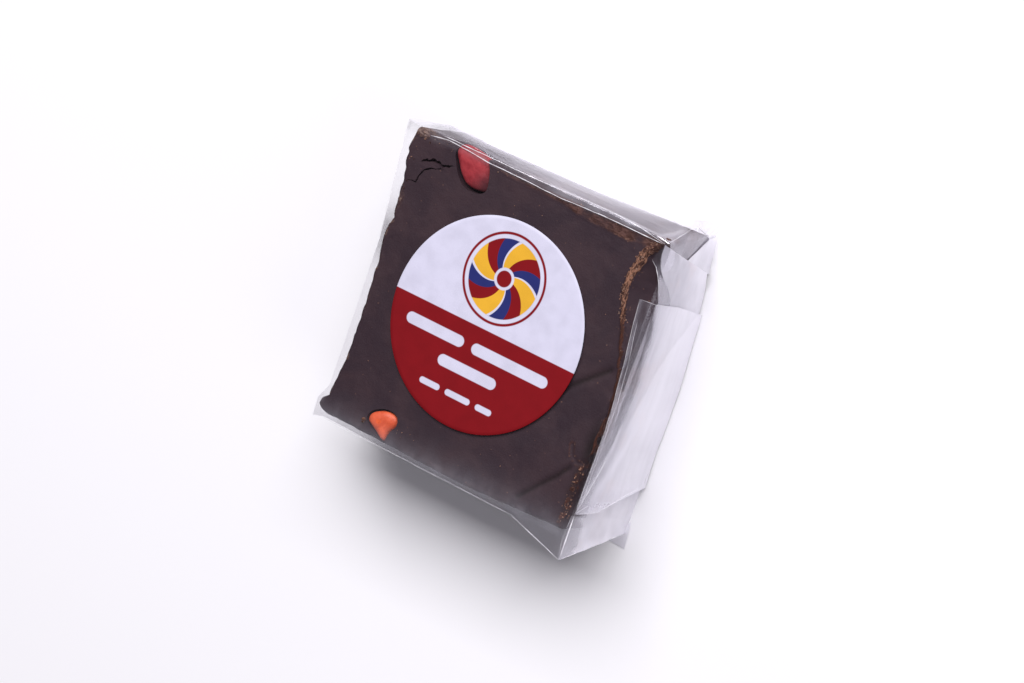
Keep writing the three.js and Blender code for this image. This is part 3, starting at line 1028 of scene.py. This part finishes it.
def make_flap(name, rails, veil, pale, seed, counts=(120, 20)):
    """A sheet over rails that run side by side. veil says how milky it is, from its points and their share of
    the way across; its white partly paints the reflection of the white table. pale is the heights between
    which its colour is lightened, as painted light."""
    lines = [resample(rail, counts[0]) for rail in rails]
    bands = []
    for first, second in zip(lines, lines[1:]):
        share = np.linspace(0, 1, counts[1], endpoint=False)[None, :, None]
        bands.append(first[:, None] + (second - first)[:, None] * share)
    grid = np.concatenate([*bands, lines[-1][:, None]], axis=1)
    rows, columns = grid.shape[:2]
    points = grid.reshape(-1, 3)
    across = np.tile(np.linspace(0, 1, columns), rows)
    slack = 0.16 * lumps(points * (1, 1, 0.5), 6.0, seed) + 0.05 * lumps(points, 2.0, seed + 1)
    points[:, 0] += np.abs(slack)
    faces = [
        (i * columns + j, (i + 1) * columns + j, (i + 1) * columns + j + 1, i * columns + j + 1)
        for i in range(rows - 1) for j in range(columns - 1)
    ]
    milk = np.clip(veil(points, across), 0, 0.96)
    # Painted light: the flap's colour is lightened lower down, between the heights in pale
    painted_light = rise(points[:, 2], pale[0], pale[1] - pale[0])
    piece = make_piece(name, points, faces, CLEAR_FILM, sharp=60, veil=milk, pale=painted_light)


# %% How milky the flaps are
FAR_VEIL = (
    (0, 0.0), (0.03, 0.36), (0.20, 0.42), (0.32, 0.50), (0.36, 0.68), (0.6, 0.72), (0.85, 0.84), (1, 0.90),
)


def far_veil(p, across):
    """Clear over the dark side, grey beside it, then white, with soft drifts."""
    drift = 0.05 * lumps(p, 3.5, 161) + 0.03 * lumps(p, 1.4, 162)
    clear = rise(p[:, 1], 24.5, 1.5) * rise(across, 0.34, -0.06)
    return (read_off(FAR_VEIL, across) + drift * (across > 0.3)) * (1 - 0.75 * clear)


# Along the end: from which height down the flap is white, and how milky it is above and below.
# White comes in by how far below that height a point lies.
WHITE_FROM = (
    (-27.0, 23.6), (-24.0, 22.8), (-19.6, 21.5), (-16.3, 20.4), (-12.2, 19.3), (-8.7, 18.7), (-4.4, 18.7),
    (0.9, 18.3), (5.1, 19.2), (9.4, 19.3), (12.6, 19.4), (14.6, 20.8), (18.0, 21.8),
)
GREY_VEIL = ((-27, 0.28), (-20, 0.38), (-9, 0.36), (-4, 0.34), (1.5, 0.25), (18, 0.20))
WHITE_VEIL = (
    (-27, 0.45), (-24.5, 0.60), (-21, 0.84), (-14, 0.88), (-6, 0.85), (3, 0.80), (10, 0.86), (18, 0.88),
)
WHITE_IN = ((-1.0, 0.0), (0.7, 0.66), (2.2, 0.90), (5.0, 1.0))
LAYER_END = ((16.4, 2.0), (15.9, 2.5), (8.9, 9.1), (3.2, 12.8), (-0.6, 13.9), (-4.3, 15.4), (-10.0, 17.4))
STREAKS = (
    # how much milkier, half width and path along the end as (y, z)
    (0.10, 0.7, ((-8.6, 13.0), (-12.9, 13.8), (-17.3, 16.5), (-21.7, 18.7), (-25.5, 22.4))),
    (-0.12, 0.8, ((-6.0, 16.5), (-12.4, 17.2), (-17.3, 18.8), (-21.5, 20.9), (-25.0, 22.8))),
    (0.22, 0.5, ((-9.0, 18.9), (-12.4, 19.3), (-16.3, 20.7), (-20.0, 22.0), (-24.4, 23.3))),
    (0.16, 0.3, ((17.5, 23.4), (9.0, 21.6), (2.0, 21.8), (-6.0, 22.2))),
    (-0.10, 0.5, ((15.0, 22.4), (6.0, 20.9), (0.0, 20.6), (-7.0, 20.9))),
    (-0.16, 0.9, ((15.4, 22.6), (13.0, 21.7))),
)
STREAK_FADE = 0.35  # a streak fades out more slowly along the end than across it


def up_veil(p, across):
    """White below, and near the face streaked and thin enough to show the fudge."""
    y, z = p[:, 1], p[:, 2]
    drawn = p * (1.0, 0.10, 1.0)
    below = read_off(WHITE_FROM, y) - z + 0.35 * lumps(drawn, 1.1, 170)
    white = read_off(WHITE_IN, below)
    past = rise(z - read_off(LAYER_END[::-1], y), 0.45, -0.9) * rise(y, -13, 6)
    milk = read_off(GREY_VEIL, y) * (1 - white) + (read_off(WHITE_VEIL, y) + 0.11 * past) * white
    for amount, half, path in STREAKS:
        path = [(a * STREAK_FADE, b) for a, b in path]
        milk += amount * hump(line_distance(y * STREAK_FADE, z, path), 0.0, half)
    edge = 0.20 * rise(across, 0.10, -0.08) * rise(y, -2, 4)
    fine = 0.09 * lumps(drawn, 0.9, 171) + 0.07 * lumps(drawn, 0.45, 172)
    return milk + edge + fine * (1 - 0.75 * white) + 0.025 * lumps(drawn, 1.6, 173)


spots = np.array([(32.0, 0.0, 22.5), (32.0, 0.0, 12.0)])
print("veil of the upright flap, near the face and low down:", up_veil(spots, np.ones(2)).round(2))

# %% The four flaps
FAR_EDGE = ((29.9, 29.8, 24.4), wall(28.5, 19.9), wall(27.3, 13.8), wall(25.0, 1.6))
DARK_EDGE = (
    (28.9, 27.6, 24.4), (28.5, 26.1, 24.4), (29.9, 25.0, 24.4), (30.8, 23.8, 24.4), wall(21.9, 24.0),
    wall(18.8, 21.9), wall(10.0, 19.0),
)
BRIGHT_EDGE = ((30.05, 27.9, 24.4), (30.6, 25.9, 24.4), (31.3, 24.6, 24.4), wall(22.7, 22.2), wall(21.0, 19.0))
UP_EDGE = (
    (29.1, 17.9, 24.47), (29.6, 13.4, 24.47), (30.6, 6.1, 24.47), (31.6, -2.6, 24.3), (32.0, -9.0, 24.1),
    (32.0, -15.7, 24.0), (32.0, -24.7, 23.8), (32.0, -27.1, 23.6),
)
make_flap("film_flap_far", (
    (FAR_EDGE[0], *DARK_EDGE),
    ((29.95, 29.75, 24.4), *BRIGHT_EDGE, wall(18.9, 15.9), wall(10.0, 13.0)),
    (wall(28.5, 19.9), wall(23.0, 14.0), wall(18.0, 10.0), wall(10.0, 8.0)),
    (FAR_EDGE[-1], wall(21.0, 0.2), wall(18.0, 0.2), wall(10.0, 0.2)),
), far_veil, (13.0, 4.0), 70)
make_flap("film_flap_behind", (
    (wall(31.9, 4.6, 0.2), wall(27.0, 14.0, 0.2)),
    (wall(32.6, 0.2, 0.2), wall(24.6, 0.2, 0.2)),
), lambda p, across: 0.74 + 0.06 * lumps(p, 2.4, 165), (30.0, 20.0), 72, counts=(50, 26))
make_flap("film_flap_up", (
    UP_EDGE,
    (
        (31.8, 17.9, 22.6), wall(6.0, 23.0, 0.45), wall(-4.0, 23.0, 0.45), wall(-15.0, 22.8, 0.45),
        wall(-27.0, 22.6, 0.6),
    ),
    (wall(17.7, 12.0, 0.7), wall(0.0, 12.5, 0.6), wall(-15.0, 14.0, 0.5), wall(-26.4, 16.4, 0.9)),
    (wall(16.4, 0.2, 0.95), wall(0.0, 0.2, 0.75), wall(-14.0, 0.2, 0.45), wall(-20.8, 0.4, 0.8)),
), up_veil, (19.0, 9.0), 74, counts=(150, 30))
make_flap("film_corner_back", (
    ((29.0, -33.9, 0.25), (34.4, -34.2, 0.25)),
    ((31.5, -31.0, 0.7), (34.0, -28.4, 0.9)),
), lambda p, across: 0.90 + 0.06 * lumps(p, 2.0, 191), (30.0, 20.0), 82, counts=(20, 12))

# %% [markdown]
# ## Crease lines
#
# A hard crease is where film looks brightest: the sharp bend sweeps through every angle and always finds the
# lamp. At this size each is a thread of light a fifth of a millimetre wide. A line painted on would vanish
# from other sides, so each one is a thin raised fold, with a slight wander and breaks in its thickness, as the
# real ones have. Its brightness is a painted highlight: the thread is white all round, as opaque as a share
# listed for each crease.

# %% A thread of light
FOLD_SIDES = 6


def fold_thread(path, radius, seed, step=0.35):
    """A thin tube along a path in millimetres, uneven in thickness, with its ends drawn to a point."""
    line = resample(path, max(8, int(path_length(path) / step)))
    line += 0.05 * np.column_stack([lumps(line + 7 * axis, 2.5, seed + axis) for axis in range(3)])
    ahead = np.gradient(line, axis=0)
    ahead /= lengths(ahead)
    side = np.cross(ahead, (0.3, 0.4, 0.87))
    side /= lengths(side)
    up = np.cross(side, ahead)
    end = np.minimum(np.arange(len(line)), np.arange(len(line))[::-1]) / 5
    girth = radius * (0.8 + 0.45 * lumps(line, 1.1, seed + 5)) * np.clip(end, 0.15, 1)
    turn = np.linspace(0, 2 * math.pi, FOLD_SIDES, endpoint=False)
    ring = side[:, None] * np.cos(turn)[:, None] + up[:, None] * np.sin(turn)[:, None]
    body = (line[:, None] + ring * girth[:, None, None]).reshape(-1, 3)
    points = np.vstack([line[0], body, line[-1]])
    return points, ring_faces(len(line), FOLD_SIDES)


def crease_finish():
    """A fold's sharp bend as a painted highlight: white by a kept share, with breaks, and clear film for the
    rest.
    """
    finish = Finish("painted_fold_highlight")
    broken = finish.step(finish.noise(1.1, 3.0, 0.6), 0.30, 0.60) * 0.35 + 0.65
    bright = finish.surface({"Base Color": (0.93, 0.91, 0.96, 1), "Roughness": 0.30 + 0.1 * broken})
    return finish.done(finish.film(finish.kept("veil") * broken, bright))


print("faces on a short thread:", len(fold_thread(((0, 0, 0), (5, 0, 0)), 0.1, 1)[1]))

# %% Where the creases run
STAR = UP_EDGE[-1]  # where the end's folds meet at the lower right corner
EAR_ELBOW = (30.8, 34.5, 15.2)  # where the far ear's edge turns back down
CREASES = (
    # radius, how bright its painted highlight is, and path
    (0.095, 0.90, ((-27.9, 30.9, 24.35), (-23.4, 31.5, 24.45), (-18.4, 31.2, 24.8), (-13.1, 30.6, 24.65),
                   (-6.7, 30.4, 24.4), (4.9, 29.9, 24.4), (14.3, 30.1, 24.4), (29.6, 29.8, 24.4))),
    (0.090, 0.90, ((-25.6, 31.9, 24.2), (-20.8, 31.9, 24.65), (-13.8, 31.7, 24.6), (-2.7, 31.4, 24.1),
                   (6.8, 31.4, 24.0), (15.7, 31.5, 24.0), (23.3, 31.0, 24.1), (29.8, 29.9, 24.4))),
    (0.085, 0.95, FAR_EDGE[:3]),
    (0.050, 0.60, FAR_EDGE[2:]),
    (0.070, 0.70, DARK_EDGE[1:6]),
    (0.050, 0.80, ((29.1, 17.9, 24.5), (31.9, 17.9, 22.8), wall(17.8, 17.0, 0.5))),
    (0.055, 0.65, UP_EDGE),
    (0.045, 0.60, ((30.2, 14.0, 24.45), (31.4, 6.1, 24.2), (32.1, -2.6, 23.6), (32.3, -15.7, 23.3),
                   (32.3, -24.0, 23.3))),
    (0.110, 0.90, (STAR, (32.6, -36.75, 24.25))),
    (0.050, 0.60, ((31.6, -27.4, 23.9), (31.7, -33.0, 24.2), (32.4, -36.5, 24.3))),
    (0.080, 0.85, ((19.0, -32.8, 24.2), (32.5, -36.8, 24.2))),
    (0.085, 0.90, ((32.6, -36.7, 23.9), (33.5, -31.1, 0.7))),
    (0.080, 0.98, (STAR, wall(-26.4, 16.4, 1.1))),
    (0.075, 0.98, (STAR, wall(-23.3, 16.7, 0.75))),
    (0.060, 0.95, (STAR, wall(-22.4, 22.6, 0.7), wall(-14.0, 19.8, 0.7))),
    (0.050, 0.85, (wall(-26.4, 16.4, 1.1), wall(-22.6, 8.1, 1.0), wall(-21.0, 2.5, 1.0))),
    (0.060, 0.45, ((-29.0, -31.8, 24.2), (-5.0, -32.3, 24.2), (19.0, -32.8, 24.2))),
    (0.040, 0.50, ((-33.9, 32.2, 24.2), (-31.0, 7.2, 24.2))),
    (0.060, 0.80, ((30.9, 30.6, 24.4), (30.8, 32.0, 21.0), (30.7, 33.2, 18.0), EAR_ELBOW)),
    (0.110, 0.98, (EAR_ELBOW, (30.6, 33.4, 10.5), (30.4, 32.4, 6.4))),
    (0.045, 0.70, ((31.3, 29.6, 18.4), (31.2, 28.6, 16.5))),
    (0.070, 0.90, (wall(-17.5, 0.9, 0.7), wall(-19.0, 1.4, 0.8), wall(-21.3, 0.9, 0.7))),
)


def make_creases():
    points, faces, veil = [], [], []
    for index, (radius, painted_light, path) in enumerate(CREASES):
        made, quads = fold_thread(path, radius, 90 + 7 * index)
        start = sum(map(len, points))
        faces += [tuple(start + corner for corner in quad) for quad in quads]
        points.append(made)
        veil.append(painted_light * (0.85 + 0.35 * lumps(made, 1.6, 97)))
    points, veil = np.vstack(points), np.clip(np.concatenate(veil), 0.1, 0.98)
    piece = make_piece("film_creases", points, faces, crease_finish(), sharp=80, veil=veil)


make_creases()

# %% [markdown]
# ## The sticker
#
# It is a disc of thin coated paper. Its print here is plain: a dark red lower field, a pale
# upper one, a round candy-swirl badge and some bars. A picture file could carry the print, but
# sums on the surface's own place stay sharp at any distance: a disc is a distance from a point,
# a blade of the swirl is an angle that turns with that distance.

# %% The sticker's sizes and inks
STICKER_PLACE = (-0.8, 0.2)
STICKER_RADIUS = 22.225
STICKER_TURN = math.radians(-1.3)
STICKER_THICK = 0.16
STICKER_LIFT = FILM_FACE + 0.10
# The print's places are measured from the sticker's middle, and the badge's sizes are radii
FIELD_TOP = -0.95
BADGE = (0.0, 10.1)
BADGE_RING = (9.05, 9.6)
BADGE_DISC = 8.2
BADGE_HUB = (2.3, 1.7)
BLADES = 4.0
BLADE_TWIST = 0.42
BLADE_SHIFT = 1.9  # how far the red blades are turned from the yellow ones
INK_EDGE = 0.10
PAPER = (0.65, 0.635, 0.78)
PRINT_RED = (0.215, 0.006, 0.010)
PRINT_NAVY = (0.022, 0.028, 0.15)
PRINT_YELLOW = (0.78, 0.42, 0.035)
STICKER_BARS = (
    # left, right, low and high, in millimetres from the sticker's middle
    (-17.6, -3.2, -6.6, -4.2), (-1.2, 17.6, -6.6, -4.2),
    (-7.4, 7.0, -11.6, -9.2),
    (-9.6, -4.6, -16.6, -15.3), (-3.2, 3.0, -16.6, -15.3), (4.4, 8.4, -16.6, -15.3),
)
print("sticker, mm across:", 2 * STICKER_RADIUS)


# %% The sticker's print and disc
def sticker_finish():
    finish = Finish("printed_sticker")
    x, y, _ = finish.axes()
    x, y = x - STICKER_PLACE[0], y - STICKER_PLACE[1]
    cosine, sine = math.cos(STICKER_TURN), math.sin(STICKER_TURN)
    across, up = x * cosine + y * sine, y * cosine - x * sine
    bx, by = across - BADGE[0], up - BADGE[1]
    far = bx.reach(by)

    def inside(distance, radius):
        return finish.step(distance, radius + INK_EDGE, radius - INK_EDGE)

    turn = finish.node("ShaderNodeMath", {"operation": "ARCTAN2"}, {0: by, 1: bx})
    swirl = turn * BLADES + far * BLADE_TWIST
    first = finish.node("ShaderNodeMath", {"operation": "SINE"}, {0: swirl})
    second = finish.node("ShaderNodeMath", {"operation": "SINE"}, {0: swirl + BLADE_SHIFT})
    disc = inside(far, BADGE_DISC)
    inks = [
        (inside(up, FIELD_TOP), PRINT_RED),
        (inside(far, BADGE_RING[1]) * (1 - inside(far, BADGE_RING[0])), PRINT_RED),
        (disc, PRINT_NAVY),
        (disc * finish.step(first, -0.22, -0.12), PAPER),
        (disc * finish.step(first, 0.10, 0.20), PRINT_YELLOW),
        (disc * finish.step(second, 0.52, 0.62), PRINT_RED),
        (inside(far, BADGE_HUB[0]), PAPER),
        (inside(far, BADGE_HUB[1]), PRINT_RED),
    ]
    for left, right, low, high in STICKER_BARS:
        half, tall = (right - left) / 2, (high - low) / 2
        past_end = ((across - (left + right) / 2).size() - (half - tall)).upper(0.0)
        inks.append((inside(past_end.reach(up - (low + high) / 2), tall), PAPER))
    colour = PAPER
    for mask, ink in inks:
        colour = finish.tint(mask, colour, ink)
    mottle = finish.step(finish.noise(4.0, 3.0, 0.5), 0.3, 0.75)
    colour = finish.tint(mottle * 0.10, colour, (0.0, 0.0, 0.0))
    fibre = finish.noise(0.35, 3.0, 0.6)
    inputs = {"Base Color": colour, "Roughness": 0.50 + 0.12 * fibre, "Specular IOR Level": 0.12}
    inputs["Normal"] = finish.bump(fibre, 0.012)
    return finish.done(finish.surface(inputs))


def make_sticker():
    """A thin disc with a softened rim, slightly wavy like the film it is stuck to."""
    sides, rings = 180, 30
    turn = np.linspace(2 * math.pi, 0, sides, endpoint=False)
    circle = np.column_stack([np.cos(turn), np.sin(turn)])
    rows = [(share, STICKER_THICK) for share in np.linspace(0, 1, rings + 1)[1:-1]]
    rows += [(0.9985, STICKER_THICK), (1.0, STICKER_THICK * 0.8), (1.0, STICKER_THICK * 0.2), (0.9985, 0.0)]
    rows += [(share, 0.0) for share in np.linspace(0, 1, rings + 1)[::-1][1:-1]]
    points = [(0, 0, STICKER_THICK)]
    for share, lift in rows:
        points += [(*(STICKER_RADIUS * share * side), lift) for side in circle]
    points = np.array([*points, (0, 0, 0)]) + (*STICKER_PLACE, STICKER_LIFT)
    points[:, 2] += 0.035 * lumps(points * (1, 1, 0), 9.0, 120)
    piece = make_piece("round_sticker", points, ring_faces(len(rows), sides), sticker_finish(), sharp=50)
    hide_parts("label")


make_sticker()

# %% [markdown]
# ## Table and light
#
# The photo is a product shot on white: the table burns out to white, and one broad soft lamp
# from behind throws a short soft shadow to the front. A weak one at the right lights the folded
# end. A dim grey room keeps the shadow deep and stops the film from mirroring a bright ceiling
# over the dark fudge.

# %% The stage
TABLE_HALF = 3.0
TABLE_COLOUR = (0.93, 0.92, 0.95)
TABLE_SHADE = (0.90, 0.90, 0.92)
LAMP_COLOUR = (1.0, 0.985, 1.0)
KEY = {"place": (0.0, 0.85, 1.05), "size": (1.50, 0.80), "power": 27.0}
FILL = {"place": (1.00, -0.20, 0.50), "size": (0.60, 0.60), "power": 2.2}
ROOM = (0.148, 0.143, 0.162)


def make_table():
    mesh = bpy.data.meshes.new("table")
    corners = [(x * TABLE_HALF, y * TABLE_HALF, 0) for x, y in ((-1, -1), (1, -1), (1, 1), (-1, 1))]
    mesh.from_pydata(corners, [], [(0, 1, 2, 3)])
    finish = Finish("white_table")
    tone = finish.tint(finish.noise(60.0, 2.0) * 0.2, TABLE_COLOUR, TABLE_SHADE)
    mesh.materials.append(finish.done(finish.surface({"Base Color": tone, "Roughness": 0.7})))
    table = bpy.data.objects.new("table", mesh)
    bpy.context.scene.collection.objects.link(table)


def make_lamp(name, place, size, power):
    data = bpy.data.lights.new(name, "AREA")
    data.shape = "RECTANGLE"
    data.size, data.size_y = size
    data.energy = power
    data.color = LAMP_COLOUR
    lamp = bpy.data.objects.new(name, data)
    lamp.location = place
    lamp.rotation_mode = "QUATERNION"
    lamp.rotation_quaternion = (Vector((0, 0, 0.01)) - Vector(place)).to_track_quat("-Z", "Y")
    bpy.context.scene.collection.objects.link(lamp)
    return lamp


def make_room():
    world = bpy.data.worlds.new("room")
    world.use_nodes = True
    world.node_tree.nodes["Background"].inputs["Color"].default_value = (*ROOM, 1.0)
    bpy.context.scene.world = world
    bpy.context.scene.view_settings.view_transform = "Standard"


make_table()
make_lamp("key_lamp", **KEY)
make_lamp("fill_lamp", **FILL).visible_glossy = False  # it lights the film but isn't mirrored in it
make_room()
